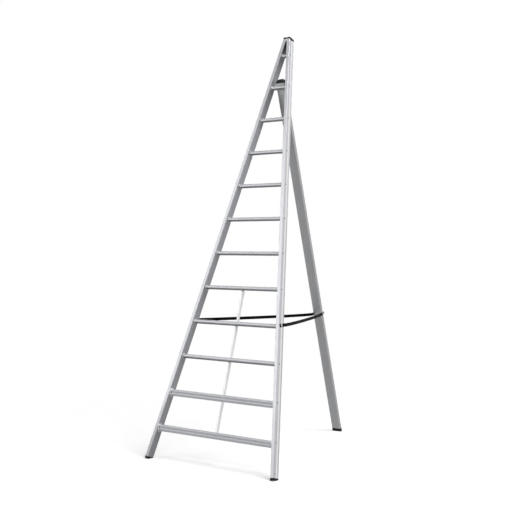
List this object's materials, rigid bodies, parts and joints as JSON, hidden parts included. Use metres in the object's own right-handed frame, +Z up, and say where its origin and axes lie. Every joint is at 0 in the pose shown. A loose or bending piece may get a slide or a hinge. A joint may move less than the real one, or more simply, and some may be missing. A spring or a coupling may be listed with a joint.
{
  "type": "orchard tripod ladder",
  "caption": "Tall orchard tripod ladder: two aluminium stiles that meet at a point, flat rungs, a centre brace and one hinged rear leg held by webbing straps.",
  "frame": {"origin": "on the ground, in the middle of the box round the whole open ladder", "axes": "+Z up, +X to the ladder's right for someone who faces the rungs, +Y from the front frame to the rear leg"},
  "size_m": [1.2236, 1.8536, 3.3489],
  "materials": {
    "frame_aluminium": "mill finish, lightly anodised, drawn lines along the tube",
    "rung_aluminium": "mill finish extrusion, lines along the rung",
    "leg_aluminium": "dull mill finish, drawn lines along the tube",
    "cap_plastic": "satin moulded plastic",
    "foot_rubber": "dull moulded rubber",
    "webbing": "plain woven polyester webbing",
    "zinc_steel": "zinc plated",
    "nylon": "natural nylon"
  },
  "bodies": {
    "front_frame": {"stile_left": "frame_aluminium", "stile_right": "frame_aluminium", "rung_01": "rung_aluminium", "rung_02": "rung_aluminium", "rung_03": "rung_aluminium", "rung_04": "rung_aluminium", "rung_05": "rung_aluminium", "rung_06": "rung_aluminium", "rung_07": "rung_aluminium", "rung_08": "rung_aluminium", "rung_09": "rung_aluminium", "rung_10": "rung_aluminium", "rung_11": "rung_aluminium", "rung_12": "rung_aluminium", "centre_brace": "frame_aluminium", "top_cap_left": "cap_plastic", "top_cap_right": "cap_plastic", "front_foot_left": "foot_rubber", "front_foot_right": "foot_rubber", "front_foot_rivets": "zinc_steel", "rung_screws_left": "zinc_steel", "rung_screws_right": "zinc_steel", "hinge_cheek_left": "frame_aluminium", "hinge_cheek_right": "frame_aluminium", "hinge_bolt": "zinc_steel", "hinge_nut": "zinc_steel", "hinge_washers": "zinc_steel", "strap_left": "webbing", "strap_right": "webbing", "strap_stile_screws": "zinc_steel", "strap_stile_washers": "zinc_steel", "strap_rivet_nuts": "zinc_steel"},
    "rear_leg": {"rear_leg_tube": "leg_aluminium", "leg_top_cap": "cap_plastic", "rear_foot": "foot_rubber", "rear_foot_rivets": "zinc_steel", "hinge_sleeve": "zinc_steel", "hinge_spacers": "nylon", "strap_leg_bolt": "zinc_steel", "strap_leg_nut": "zinc_steel", "strap_leg_washers": "zinc_steel"}
  },
  "joints": [
    {"name": "rear_leg_fold", "type": "hinge", "parent": "front_frame", "child": "rear_leg", "pos_m": [0, 0.05112, 2.92061], "axis": [1, 0, 0], "range_deg": [-33, 0], "deforming": ["strap_left", "strap_right"]}
  ]
}
